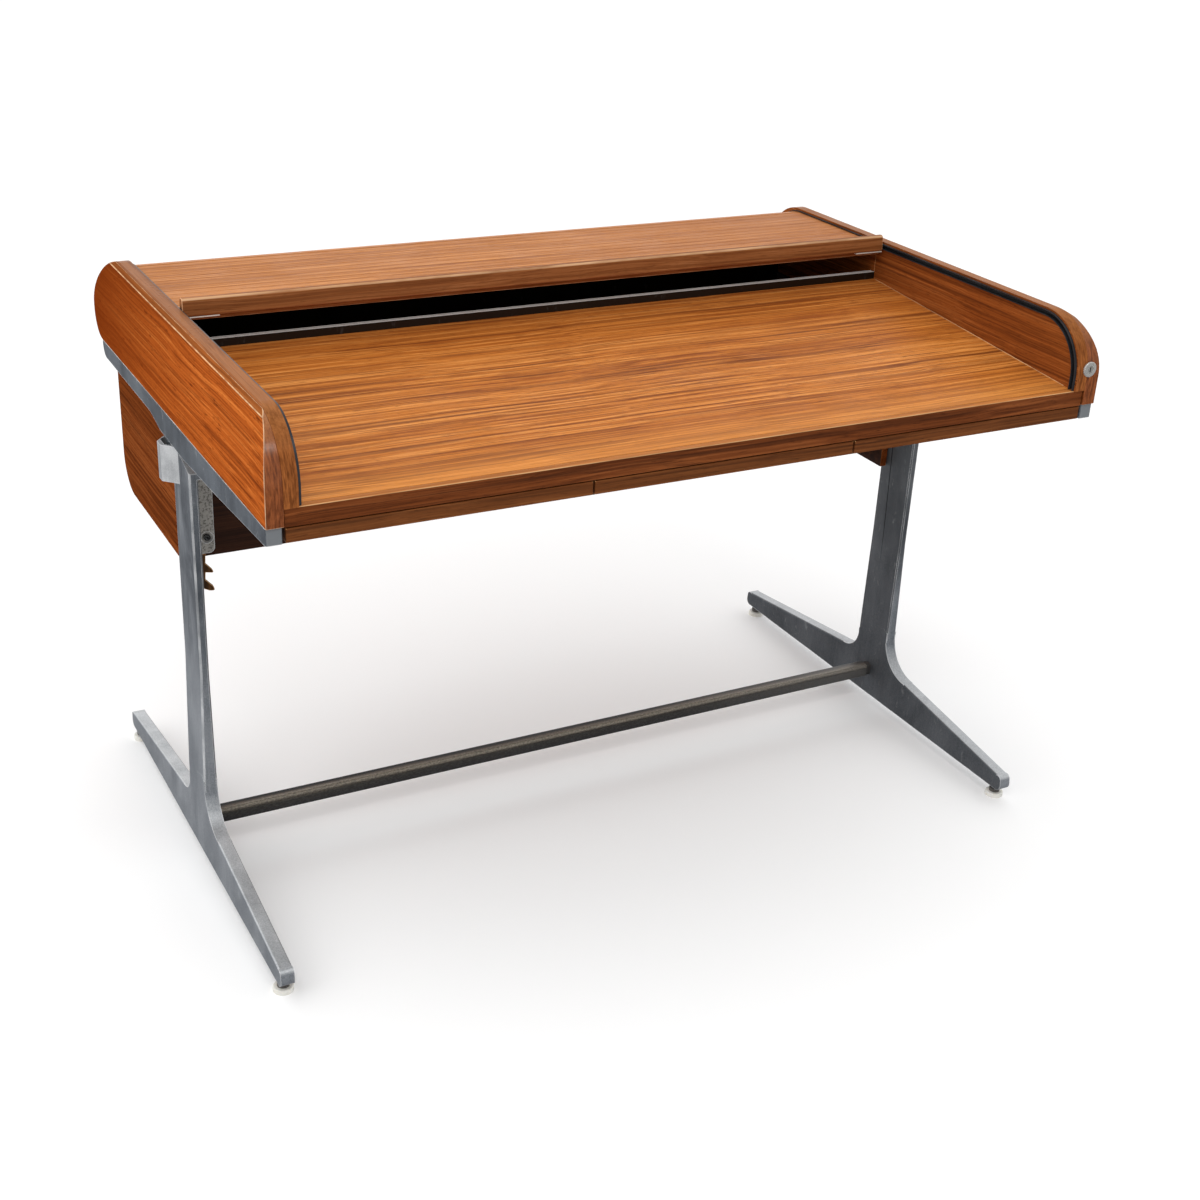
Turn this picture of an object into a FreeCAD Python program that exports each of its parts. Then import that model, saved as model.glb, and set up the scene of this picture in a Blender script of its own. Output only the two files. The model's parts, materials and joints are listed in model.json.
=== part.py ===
import FreeCAD, Part
import os
import math

# Tambour (roll-top) desk on two cast aluminium T-legs.
# Frame: millimetres, +Z up, -Y is the side where a person sits, origin on the
# floor under the middle of the desk.

V = FreeCAD.Vector

# ---------------------------------------------------------------- dimensions
Y_FRONT = -409.0          # front of the side panels
Y_REAR = 411.0            # rear of the side panels
Z_RIM = 829.0             # top of the side panels
R_RIM = 84.0              # round of the panel corners, front and rear
Z_RAIL0, Z_RAIL1 = 679.0, 702.4
X_RAIL0, X_RAIL1 = 611.0, 632.0
X_CHEEK0, X_CHEEK1 = 591.0, 609.5   # inner board, carries the tambour track
Z_ROLL, R_ROLL = 750.0, 161.0       # outer face: upright up to Z_ROLL, then rolls in
Z_EASE, X_EASE = 821.5, 607.5       # eased corner at the rim

DESK_Y0 = -406.5          # front of the writing top
DESK_Y1 = 92.0            # rear of the writing top
DESK_Z0 = 725.0           # writing height at the front edge
DESK_M = 0.0769           # slope of the writing top (4.4 degrees)
DESK_T = 24.0
X_DESK = 609.0

BIN_X0, BIN_X1 = 594.0, 606.0
BIN_Y0, BIN_Y1 = 18.0, 404.0
BIN_Z0 = 452.0
BIN_R = 55.0

LEG_X0, LEG_X1 = 609.7, 622.3        # blade column at its front and rear edge
LEG_BULGE = 2.4                      # crease along the blade, fades out downwards
LEG_Y0, LEG_Y1 = -44.0, 36.5
LEG_CREASE = -7.0
LEG_TOP = 634.0
LUG_X0, LUG_Z0 = 576.5, 491.0        # lug on the inner side of the leg
BOLT = (587.0, 515.0)
FOOT_Y0, FOOT_Y1 = -379.0, 399.0
FOOT_Z0 = 18.0
FOOT_HALF = 10.0
FOOT_XC = 617.0
GLIDES_Y = (-357.0, 378.0)
GLIDE_R, GLIDE_H = 14.5, 7.5

STR_Z0, STR_Z1 = 55.0, 79.0          # stretcher
STR_Y0, STR_Y1 = -12.0, 8.0

# tambour: rest position is open
Z_SLAT = 820.0            # underside of the fixed rear slats
T_SLAT = 3.6
T_LAY = 3.5               # thickness of the sections that run underneath
Z_LAY = (815.7, 811.9, 808.1)        # upper, middle and front section
Y_SLATS = 88.0            # front end of the slats, behind the lead bar
LEAD_Y0, LEAD_Y1 = 73.0, 97.0
LEAD_Z0, LEAD_Z1 = 815.0, 841.0
REAR_C = (319.0, 752.0)   # centre of the rear bend
REAR_R = 69.8             # centre-line radius of the rear bend
FRONT_C = (-325.0, 745.0)
FRONT_R = 76.8
TRACK_W = 8.5
TRACK_D = 7.0
X_TRACK = 587.0           # inner lip of the track
N_HINGED = 5
P_HINGED = 19.8
GAP = 0.3

DRAWER_X = ((-607.0, -202.0), (-199.0, 201.0), (204.0, 607.0))
DRAWER_NAMES = ("left", "middle", "right")

LOCK = (612.0, 757.0)     # x, z on the front end of the right side


# ------------------------------------------------------------------- helpers
def desk_top(y):
    return DESK_Z0 + (y - DESK_Y0) * DESK_M


def wire_yz(x, start, segs):
    """Closed wire in the plane x; segs are (y, z) points or (mid, end) arcs."""
    edges = []
    p = V(x, *start)
    for s in segs:
        if isinstance(s[0], tuple):
            m, e = V(x, *s[0]), V(x, *s[1])
            edges.append(Part.Arc(p, m, e).toShape())
            p = e
        else:
            e = V(x, *s)
            if (e - p).Length > 1e-6:
                edges.append(Part.LineSegment(p, e).toShape())
            p = e
    s0 = V(x, *start)
    if (s0 - p).Length > 1e-6:
        edges.append(Part.LineSegment(p, s0).toShape())
    return Part.Wire(edges)


def prism_x(x0, x1, start, segs):
    f = Part.Face(wire_yz(x0, start, segs))
    return f.extrude(V(x1 - x0, 0, 0))


def box(x0, x1, y0, y1, z0, z1):
    return Part.makeBox(x1 - x0, y1 - y0, z1 - z0, V(x0, y0, z0))


def cyl(r, h, base, axis):
    return Part.makeCylinder(r, h, V(*base), V(*axis))


def arc_pt(c, r, deg):
    a = math.radians(deg)
    return (c[0] + r * math.cos(a), c[1] + r * math.sin(a))


def mirror(shape):
    return shape.mirror(V(0, 0, 0), V(1, 0, 0))


def fillet(shape, r, pick):
    es = [e for e in shape.Edges if pick(e)]
    return shape.makeFillet(r, es) if es else shape


def chamfer(shape, d, pick):
    es = [e for e in shape.Edges if pick(e)]
    return shape.makeChamfer(d, es) if es else shape


def along_x(e):
    a, b = e.Vertexes[0].Point, e.Vertexes[-1].Point
    return abs(a.y - b.y) < 1e-6 and abs(a.z - b.z) < 1e-6 and abs(a.x - b.x) > 1e-6


def along_y(e):
    a, b = e.Vertexes[0].Point, e.Vertexes[-1].Point
    return abs(a.x - b.x) < 1e-6 and abs(a.z - b.z) < 1e-6 and abs(a.y - b.y) > 1e-6


def along_z(e):
    a, b = e.Vertexes[0].Point, e.Vertexes[-1].Point
    return abs(a.x - b.x) < 1e-6 and abs(a.y - b.y) < 1e-6 and abs(a.z - b.z) > 1e-6


NODES = {}


def node(name, *solids):
    out = []
    for s in solids:
        s = s.removeSplitter() if s.ShapeType != "Compound" else s
        got = s.Solids
        if not got:
            raise RuntimeError(name + ": no solid")
        out += got
    for s in out:
        if not s.isValid():
            raise RuntimeError(name + ": invalid solid")
    NODES[name] = out


# -------------------------------------------------------------- side panels
def rim_segs(bottom_front, bottom_rear):
    """Outline of the end of the desk, clockwise from the lower front."""
    cf = (Y_FRONT + R_RIM, Z_RIM - R_RIM)
    cr = (Y_REAR - R_RIM, Z_RIM - R_RIM)
    rb = 38.6
    segs = [
        (Y_FRONT, cf[1]),
        (arc_pt(cf, R_RIM, 135), (cf[0], Z_RIM)),
        (cr[0], Z_RIM),
        (arc_pt(cr, R_RIM, 45), (Y_REAR, cr[1])),
        (Y_REAR, Z_RAIL1 + rb),
        (arc_pt((Y_REAR - rb, Z_RAIL1 + rb), rb, -45), (Y_REAR - rb, Z_RAIL1)),
    ]
    return (Y_FRONT, bottom_front), segs + [(bottom_rear, Z_RAIL1)]


def outer_panel():
    st, segs = rim_segs(Z_RAIL1, 0.0)
    body = prism_x(X_CHEEK1, X_RAIL1, st, segs[:-1])
    return body.cut(roll_tool())


def roll_tool():
    """Everything outside the rolled outer face of a side."""
    y0, y1 = Y_FRONT - 20, Y_REAR + 20

    def xr(z):
        return X_RAIL1 - R_ROLL + math.sqrt(R_ROLL ** 2 - (z - Z_ROLL) ** 2)

    zm = (Z_ROLL + Z_EASE) / 2
    edges = [
        Part.makeLine(V(X_RAIL1, y0, Z_RAIL1 - 20), V(X_RAIL1, y0, Z_ROLL)),
        Part.Arc(V(X_RAIL1, y0, Z_ROLL), V(xr(zm), y0, zm), V(xr(Z_EASE), y0, Z_EASE)).toShape(),
        Part.makeLine(V(xr(Z_EASE), y0, Z_EASE), V(X_EASE, y0, Z_RIM)),
        Part.makeLine(V(X_EASE, y0, Z_RIM), V(X_EASE - 10.0, y0, Z_RIM + 10.0)),
        Part.makeLine(V(X_EASE - 10.0, y0, Z_RIM + 10.0), V(X_RAIL1 + 40, y0, Z_RIM + 10.0)),
        Part.makeLine(V(X_RAIL1 + 40, y0, Z_RIM + 10.0), V(X_RAIL1 + 40, y0, Z_RAIL1 - 20)),
        Part.makeLine(V(X_RAIL1 + 40, y0, Z_RAIL1 - 20), V(X_RAIL1, y0, Z_RAIL1 - 20)),
    ]
    return Part.Face(Part.Wire(edges)).extrude(V(0, y1 - y0, 0))


def track(d0, d1, x0, x1):
    """Band that follows the tambour track, d0..d1 either side of its line."""
    zc = FRONT_C[1] + FRONT_R
    yf = FRONT_C[0] - FRONT_R
    yr = REAR_C[0] + REAR_R
    zf = desk_top(yf) + 0.6
    st = (yf - d1, zf)
    segs = [
        (yf - d1, FRONT_C[1]),
        (arc_pt(FRONT_C, FRONT_R + d1, 135), (FRONT_C[0], zc + d1)),
        (REAR_C[0], zc + d1),
        (arc_pt(REAR_C, REAR_R + d1, 45), (yr + d1, REAR_C[1])),
        (yr + d1, 703.0),
        (yr - d0, 703.0),
        (yr - d0, REAR_C[1]),
        (arc_pt(REAR_C, REAR_R - d0, 45), (REAR_C[0], zc - d0)),
        (FRONT_C[0], zc - d0),
        (arc_pt(FRONT_C, FRONT_R - d0, 135), (yf + d0, FRONT_C[1])),
        (yf + d0, zf),
    ]
    return prism_x(x0, x1, st, segs)


def cheek():
    st, segs = rim_segs(desk_top(Y_FRONT), DESK_Y1)
    segs = segs + [(DESK_Y1, desk_top(DESK_Y1))]
    body = prism_x(X_CHEEK0, X_CHEEK1, st, segs)
    body = body.cut(track(TRACK_W / 2, TRACK_W / 2, X_CHEEK0 - 1, X_CHEEK0 + TRACK_D))
    return body.cut(roll_tool())


panel_r = outer_panel()
cheek_r = cheek()
# channel that lines the groove and stands a little proud of the board
liner_r = track(TRACK_W / 2 - 0.05, TRACK_W / 2 - 0.05, X_TRACK, X_CHEEK0 + TRACK_D)
liner_r = liner_r.cut(track(TRACK_W / 2 - 1.1, TRACK_W / 2 - 1.1, X_TRACK - 1.0, X_CHEEK0 + TRACK_D - 1.4))
panel_l, cheek_l, liner_l = mirror(panel_r), mirror(cheek_r), mirror(liner_r)

# the lock sits in a bore in the front end of the right side
lock_bore = cyl(9.0, 30.0, (LOCK[0], Y_FRONT - 5.0, LOCK[1]), (0, 1, 0))
panel_r = panel_r.cut(lock_bore)
cheek_r = cheek_r.cut(lock_bore)

node("outer_side_left", panel_l)
node("outer_side_right", panel_r)
node("inner_side_left", cheek_l)
node("inner_side_right", cheek_r)
node("tambour_track_left", liner_l)
node("tambour_track_right", liner_r)

# ---------------------------------------------------------------- lock
barrel = cyl(8.8, 25.0, (LOCK[0], Y_FRONT - 1.0, LOCK[1]), (0, 1, 0))
rose = cyl(11.5, 4.5, (LOCK[0], Y_FRONT - 2.0, LOCK[1]), (0, 1, 0))
rose = fillet(rose, 0.9, lambda e: abs(e.Vertexes[0].Point.y - (Y_FRONT - 2.0)) < 0.01 and abs(e.Vertexes[-1].Point.y - (Y_FRONT - 2.0)) < 0.01)
rose = rose.cut(panel_r).cut(cheek_r).cut(cyl(20.0, 20.0, (LOCK[0], Y_FRONT + 0.4, LOCK[1]), (0, 1, 0)))
rose = max(rose.Solids, key=lambda s: s.Volume)
body = barrel.fuse(rose).removeSplitter()
body = body.cut(cyl(6.1, 18.0, (LOCK[0], Y_FRONT - 3.0, LOCK[1]), (0, 1, 0)))
node("lock_housing", max(body.Solids, key=lambda s: s.Volume))
plug = cyl(6.0, 16.0, (LOCK[0], Y_FRONT - 1.6, LOCK[1]), (0, 1, 0))
plug = plug.cut(box(LOCK[0] - 0.9, LOCK[0] + 0.9, Y_FRONT - 3, Y_FRONT + 8, LOCK[1] - 3.6, LOCK[1] + 3.6))
node("lock_plug", plug)

# ---------------------------------------------------------------- writing top
y_e = -396.0
top = prism_x(-X_DESK, X_DESK, (y_e, desk_top(y_e)),
              [(DESK_Y1, desk_top(DESK_Y1)), (DESK_Y1, desk_top(DESK_Y1) - DESK_T), (y_e, desk_top(y_e) - DESK_T)])
node("writing_top", top)
edge = prism_x(-X_DESK, X_DESK, (DESK_Y0, DESK_Z0),
               [(y_e, desk_top(y_e)), (y_e, 700.5), (DESK_Y0, 700.5)])
edge = fillet(edge, 1.6, lambda e: along_x(e) and abs(e.Vertexes[0].Point.y - DESK_Y0) < 0.1)
node("front_edging", edge)

# ---------------------------------------------------------------- side rails
def rail():
    segs = [
        (-406.0, Z_RAIL1),
        (371.0, Z_RAIL1),
        (371.0, Z_RAIL1 - 3.0),
        (((371.0 - 6.6), Z_RAIL0 + 6.6 - 2.0), (348.0, Z_RAIL0)),
        (105.0, Z_RAIL0 - 2.0),
        (56.0, Z_RAIL0 - 13.0),
        (-52.0, Z_RAIL0 - 16.0),
        (-190.0, Z_RAIL0 - 11.0),
    ]
    bar = prism_x(X_RAIL0, X_RAIL1, (-406.0, Z_RAIL0 + 1.0), segs)
    bar = fillet(bar, 2.5, lambda e: along_z(e) and e.Vertexes[0].Point.y < -405)
    # stem that drops into the socket of the leg
    stem = box(613.5, 630.5, 9.0, 39.0, 618.5, 672.0)
    stem = fillet(stem, 8.0, along_z)
    flare = prism_x(615.0, 629.0, (-52.0, 676.0),
                    [(100.0, 690.0), (100.0, 678.0), ((59.0, 668.5), (37.5, 659.0)), (10.5, 659.0),
                     ((-10.0, 662.0), (-52.0, 667.0))])
    return bar.fuse(stem).fuse(flare).removeSplitter()


rail_r = rail()
node("side_rail_left", mirror(rail_r))
node("side_rail_right", rail_r)

# ---------------------------------------------------------------- legs
def blade(z0, z1, b0, b1, w0=(LEG_X0, LEG_X1), w1=(LEG_X0, LEG_X1)):
    """Blade column: flat at the bottom, creased along both faces at the top; w0 and w1 are its faces."""
    def sect(z, b, w):
        e = 2.2
        xa, xb = w
        pts = [(xa, LEG_Y0 + e), (xa + e, LEG_Y0), (xb - e, LEG_Y0), (xb, LEG_Y0 + e),
               (xb + b, LEG_CREASE), (xb, LEG_Y1 - e), (xb - e, LEG_Y1), (xa + e, LEG_Y1),
               (xa, LEG_Y1 - e), (xa - b, LEG_CREASE)]
        return Part.makePolygon([V(x, y, z) for x, y in pts + [pts[0]]])
    return Part.makeLoft([sect(z0, b0, w0), sect(z1, b1, w1)], True, True)


def leg():
    zt, zr = 45.0, 84.0           # top of the arm at the toe and at the root
    f0, f1 = FOOT_XC - FOOT_HALF, FOOT_XC + FOOT_HALF
    foot = prism_x(f0, f1, (FOOT_Y0 + 8, FOOT_Z0), [
        ((FOOT_Y0 + 1.5, FOOT_Z0 + 5), (FOOT_Y0, FOOT_Z0 + 12)),
        (FOOT_Y0 + 1, zt - 8),
        ((FOOT_Y0 + 3.5, zt - 2.2), (FOOT_Y0 + 9, zt)),
        (LEG_Y0 - 60, zr),
        (LEG_Y1 + 40, zr),
        (FOOT_Y1 - 9, zt),
        ((FOOT_Y1 - 3.5, zt - 2.2), (FOOT_Y1 - 1, zt - 8)),
        (FOOT_Y1, FOOT_Z0 + 12),
        ((FOOT_Y1 - 1.5, FOOT_Z0 + 5), (FOOT_Y1 - 8, FOOT_Z0)),
    ])
    foot = fillet(foot, 3.0, lambda e: abs(e.Vertexes[0].Point.z - e.Vertexes[-1].Point.z) > 30 and
                  e.Vertexes[0].Point.z > 40 and e.Vertexes[-1].Point.z > 40)
    # roots that sweep from the arms into the blade
    root = prism_x(f0, f1, (LEG_Y0 - 62, 66.0), [
        (LEG_Y0 - 62, zr - 0.6),
        ((LEG_Y0 - 15.0, zr + 20.0), (LEG_Y0 + 0.4, zr + 70.0)),
        (LEG_Y0 + 10.0, zr + 76.0), (LEG_Y1 - 10.0, zr + 58.0),
        (LEG_Y1 - 0.4, zr + 46.0),
        ((LEG_Y1 + 9.0, zr + 13.0), (LEG_Y1 + 40, zr - 0.6)),
        (LEG_Y1 + 40, 66.0)])
    wide = (f0 + 0.02, f1 - 0.02)
    col = blade(70.0, 150.0, 0.01, 0.01, wide, wide)
    col = col.fuse(blade(150.0, 330.0, 0.01, 0.02, w0=wide)).fuse(blade(330.0, LEG_TOP + 20.0, 0.02, LEG_BULGE))
    # the head is cut back in front of the socket
    nose = prism_x(590.0, 650.0, (LEG_Y0 - 5, LEG_TOP - 2.0), [(0.0, 657.0), (60.0, 657.0), (60.0, 700.0), (LEG_Y0 - 5, 700.0)])
    col = col.cut(nose)
    # faceted open socket at the head, set outwards under the rail
    pts = [(606.7, -2.0), (623.0, -2.0), (643.0, 18.0), (643.0, 33.0), (629.0, 50.0), (606.7, 50.0)]
    w = Part.makePolygon([V(x, y, 606.0) for x, y in pts + [pts[0]]])
    sock = Part.Face(w).extrude(V(0, 0, 53.0))
    sock = fillet(sock, 2.5, along_z)
    hole = box(610.6, 637.0, 3.0, 45.0, 618.0, 700.0)
    hole = fillet(hole, 9.0, along_z)
    chip = Part.makePolygon([V(607.5, -12, 610), V(645.0, 25.5, 610), V(645.0, -12, 610), V(607.5, -12, 610)])
    hole = hole.cut(Part.Face(chip).extrude(V(0, 0, 100)))
    # sloped shoulder in front of the socket
    wing = prism_x(603.4, 612.0, (-44.0, 625.5), [(-44.0, 634.6), (3.0, 658.6), (3.0, 648.0)])
    # lug on the inner side with a recessed bolt
    lug = box(LUG_X0, 611.0, 11.0, 17.5, LUG_Z0, 622.0)
    lug = fillet(lug, 8.0, lambda e: along_y(e) and e.Vertexes[0].Point.x < LUG_X0 + 1)
    lug = lug.cut(cyl(2.6, 20.0, (BOLT[0], 5.0, BOLT[1]), (0, 1, 0)))
    lug = lug.cut(cyl(8.6, 4.0, (BOLT[0], 9.0, BOLT[1]), (0, 1, 0)))
    body = foot.fuse(root).fuse(col).fuse(sock).fuse(wing).fuse(lug)
    body = body.cut(hole)
    # threaded seats of the glides and the seat of the stretcher
    for y in GLIDES_Y:
        body = body.cut(cyl(4.02, 20.0, (FOOT_XC, y, FOOT_Z0 - 1), (0, 0, 1)))
    body = body.cut(box(f0 - 10, f0 + 6.0, STR_Y0 + 3.0, STR_Y1 - 3.0, STR_Z0 + 4.0, STR_Z1 - 4.0))
    return body.removeSplitter()


leg_r = leg()
leg_l = mirror(leg_r)
node("leg_left", leg_l)
node("leg_right", leg_r)

# ---------------------------------------------------------------- glides
pads, stems = [], []
for sx in (-1, 1):
    for y in GLIDES_Y:
        x = sx * FOOT_XC
        p = cyl(GLIDE_R, GLIDE_H, (x, y, 0), (0, 0, 1))
        p = fillet(p, 2.6, lambda e: e.Curve.TypeId == "Part::GeomCircle" and e.Vertexes[0].Point.z > 1)
        p = p.cut(cyl(4.0, 5.0, (x, y, GLIDE_H - 5.0), (0, 0, 1)))
        pads.append(p)
        s = cyl(4.0, 28.0, (x, y, GLIDE_H - 5.0), (0, 0, 1))
        s = s.fuse(cyl(8.5, 6.0, (x, y, GLIDE_H + 0.1), (0, 0, 1))).removeSplitter()
        stems.append(s)
node("glide_pads", *pads)
node("glide_studs", *stems)

# ---------------------------------------------------------------- stretcher
xs = FOOT_XC - FOOT_HALF - 10.0
bar = box(-xs, xs, STR_Y0, STR_Y1, STR_Z0, STR_Z1)
bar = fillet(bar, 4.0, lambda e: along_x(e))
bar = bar.cut(box(-xs - 1, xs + 1, STR_Y0 - 1, STR_Y0 + 1.2, STR_Z1 - 7.2, STR_Z1 - 5.8))
for sx in (-1, 1):
    bar = bar.cut(box(min(sx * (xs - 30), sx * (xs + 1)), max(sx * (xs - 30), sx * (xs + 1)),
                      STR_Y0 + 3, STR_Y1 - 3, STR_Z0 + 4, STR_Z1 - 4))
node("stretcher_bar", bar)
spigs = []
for sx in (-1, 1):
    a, b = sx * (xs - 30), sx * (FOOT_XC - FOOT_HALF + 6.0)
    s = box(min(a, b), max(a, b), STR_Y0 + 3, STR_Y1 - 3, STR_Z0 + 4, STR_Z1 - 4)
    a, b = sx * (xs + 0.05), sx * (FOOT_XC - FOOT_HALF - 0.05)
    c = box(min(a, b), max(a, b), STR_Y0 + 1.5, STR_Y1 - 1.5, STR_Z0 + 1.5, STR_Z1 - 1.5)
    c = fillet(c, 3.0, along_x)
    spigs.append(s.fuse(c).removeSplitter())
node("stretcher_spigots", *spigs)

# ---------------------------------------------------------------- file bin
def bin_side():
    zt0 = desk_top(BIN_Y0) - DESK_T - 0.2
    zt1 = desk_top(DESK_Y1 - 1) - DESK_T - 0.2
    c = (BIN_Y1 - BIN_R, BIN_Z0 + BIN_R)
    return prism_x(BIN_X0, BIN_X1, (BIN_Y0, BIN_Z0), [
        (BIN_Y0, zt0), (DESK_Y1 - 1, zt1), (DESK_Y1 - 1, Z_RAIL1), (372.0, Z_RAIL1),
        (BIN_Y1, Z_RAIL1), (BIN_Y1, c[1]), (arc_pt(c, BIN_R, -45), (c[0], BIN_Z0))])


bs = bin_side()
bs = bs.cut(cyl(2.0, 26.0, (600.0, BIN_Y0 - 1, 600.0), (0, 1, 0)))
node("bin_side_left", mirror(bs))
node("bin_side_right", bs)

WR = 590.5
t = 7.0
y1, z0 = BIN_Y1, BIN_Z0 + 3.0
r = BIN_R - 3.0
c = (y1 - r, z0 + r)
wrap = prism_x(-WR, WR, (90.2, z0), [
    (c[0], z0), (arc_pt(c, r, -45), (y1, c[1])), (y1, 748.0), (y1 - t, 748.0),
    (y1 - t, c[1]), (arc_pt(c, r - t, -45), (c[0], z0 + t)), (90.2, z0 + t)])
node("bin_back_and_floor", wrap)
node("bin_front", box(-593.5, 593.5, 80.0, 90.0, z0, desk_top(80.0) - DESK_T - 0.3))
node("bin_liner", box(-WR, WR, 379.0, 382.0, z0 + t + 18.0, 712.0))
lc = []
for sx in (-1, 1):
    for zz in (500.0, 640.0):
        lc.append(box(min(sx * 560, sx * WR), max(sx * 560, sx * WR), 382.0, 386.5, zz, zz + 40.0))
node("liner_blocks", *lc)

fr = box(-WR, WR, 92.3, 95.3, 712.0, 775.0)
fr = fr.fuse(box(-WR, WR, 95.3, 103.0, 772.4, 775.0)).removeSplitter()
fr = fr.cut(box(-WR - 1, WR + 1, 98.0, 99.2, 774.2, 776.0))
node("file_rail_front", fr)
rr = box(-WR, WR, 376.0, 379.0, 690.0, 775.0).fuse(box(-WR, WR, 368.3, 376.0, 772.4, 775.0)).removeSplitter()
node("file_rail_rear", rr)

screws = []
for sx in (-1, 1):
    x = sx * BOLT[0]
    s = cyl(2.5, 6.0, (x, 12.5, BOLT[1]), (0, 1, 0))
    hd = cyl(5.0, 3.6, (x, 9.4, BOLT[1]), (0, 1, 0))
    hx = Part.makePolygon([V(x + 2.6 * math.cos(math.radians(60 * i)), 9.0, BOLT[1] + 2.6 * math.sin(math.radians(60 * i))) for i in range(7)])
    hd = hd.cut(Part.Face(hx).extrude(V(0, 2.6, 0)))
    screws.append(hd.fuse(s).removeSplitter())
node("lug_screws", *screws)

# hooked strip under the left lug
pts = [(603.0, LUG_Z0), (590.4, LUG_Z0), (591.2, 475.2), (582.0, 464.6), (580.2, 460.6), (582.2, 459.2), (591.8, 461.2),
       (592.4, 450.3), (581.4, 438.2), (579.6, 432.6), (582.0, 431.2), (588.0, 432.2), (597.0, 437.1), (603.0, 442.0)]
w = Part.makePolygon([V(-x, 11.0, z) for x, z in pts] + [V(-pts[0][0], 11.0, pts[0][1])])
hook = Part.Face(w).extrude(V(0, 6.5, 0))
node("cord_hook", hook)

# ---------------------------------------------------------------- drawers
for nm, (xa, xb) in zip(DRAWER_NAMES, DRAWER_X):
    f = box(xa, xb, DESK_Y0, DESK_Y0 + 14.0, 681.0, 699.3)
    f = fillet(f, 0.8, lambda e: abs(e.Vertexes[0].Point.y - DESK_Y0) < 1e-3 and abs(e.Vertexes[-1].Point.y - DESK_Y0) < 1e-3)
    node("drawer_front_" + nm, f)
    ta, tb = xa + 20.0, xb - 20.0
    yt0, yt1 = DESK_Y0 + 14.0, -70.0
    tray = box(ta, tb, yt0, yt1, 683.0, 698.0)
    tray = fillet(tray, 3.0, lambda e: along_z(e) and e.Vertexes[0].Point.y > yt1 - 1)
    tray = tray.fuse(box(ta - 6, ta + 1, yt0, yt1 - 8, 696.2, 698.0)).fuse(box(tb - 1, tb + 6, yt0, yt1 - 8, 696.2, 698.0))
    tray = tray.cut(box(ta + 2.5, tb - 2.5, yt0 + 3.0, yt1 - 2.5, 685.2, 699.0)).removeSplitter()
    node("drawer_tray_" + nm, tray)
runners = []
for xa, xb in DRAWER_X:
    for side, x in ((-1, xa + 20.0), (1, xb - 20.0)):
        x0, x1 = (x - 9.0, x - 6.4) if side < 0 else (x + 6.4, x + 9.0)
        web = prism_x(x0, x1, (-388.0, 690.0), [
            (-388.0, desk_top(-388.0) - DESK_T - 0.1), (-64.0, desk_top(-64.0) - DESK_T - 0.1), (-64.0, 690.0)])
        l0, l1 = (x - 9.0, x - 0.6) if side < 0 else (x + 0.6, x + 9.0)
        runners.append(web.fuse(box(l0, l1, -388.0, -64.0, 690.0, 695.9)).removeSplitter())
node("drawer_runners", *runners)

# ---------------------------------------------------------------- tambour
XS = 586.6                # half length of a slat between the tracks
XT = 595.6                # with its tongue in the track


def slat(y0, y1, z0, t, half, bev=0.7):
    y0, y1 = y0 + GAP / 2, y1 - GAP / 2
    return prism_x(-half, half, (y0, z0), [
        (y0, z0 + t - bev), (y0 + bev, z0 + t), (y1 - bev, z0 + t), (y1, z0 + t - bev), (y1, z0)])


def slats(ya, yb, n, z0, t, half):
    p = (yb - ya) / n
    return [slat(ya + i * p, ya + (i + 1) * p, z0, t, half) for i in range(n)]


node("tambour_slats_rear", *slats(Y_SLATS, REAR_C[0], 13, Z_SLAT, T_SLAT, XT))
arc = []
n_arc = 6
for i in range(n_arc):
    a = 90.0 * (i + 0.5) / n_arc
    wdt = 2 * (REAR_R - T_SLAT / 2) * math.tan(math.radians(45.0 / n_arc)) - 0.05
    s = slat(-wdt / 2, wdt / 2, -T_SLAT / 2, T_SLAT, XT, bev=0.5)
    s.translate(V(0, 0, REAR_R))
    s.rotate(V(0, 0, 0), V(1, 0, 0), -a)
    s.translate(V(0, REAR_C[0], REAR_C[1]))
    arc.append(s)
node("tambour_slats_bend", *arc)
tail = []
y0 = REAR_C[0] + REAR_R - T_SLAT / 2
n_tail = 12
for i in range(n_tail):
    zt = REAR_C[1] - 0.4 - i * 18.0
    if zt - 18.0 > 703.0:
        half = XT
    else:
        half = WR - 0.3
    tail.append(box(-half, half, y0, y0 + T_SLAT, zt - 18.0 + GAP, zt))
node("tambour_slats_tail", *tail)
node("tambour_canvas", box(-XS, XS, Y_SLATS + 1.0, REAR_C[0] - 1.0, Z_SLAT - 0.5, Z_SLAT))

node("tambour_section_upper", *slats(Y_SLATS, 320.0, 13, Z_LAY[0], T_LAY, XS))
node("tambour_section_middle", *slats(Y_SLATS, 336.0, 14, Z_LAY[1], T_LAY, XS))
ya = LEAD_Y1 + N_HINGED * P_HINGED - 8.0
node("tambour_section_front", *slats(ya, 345.0, 9, Z_LAY[2], T_LAY, XS))
y_h0 = ya
for i in range(N_HINGED):
    yb = y_h0 - i * P_HINGED
    node("tambour_slat_%d" % (i + 1), slat(yb - P_HINGED, yb, Z_LAY[2], T_LAY, XS))

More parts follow.
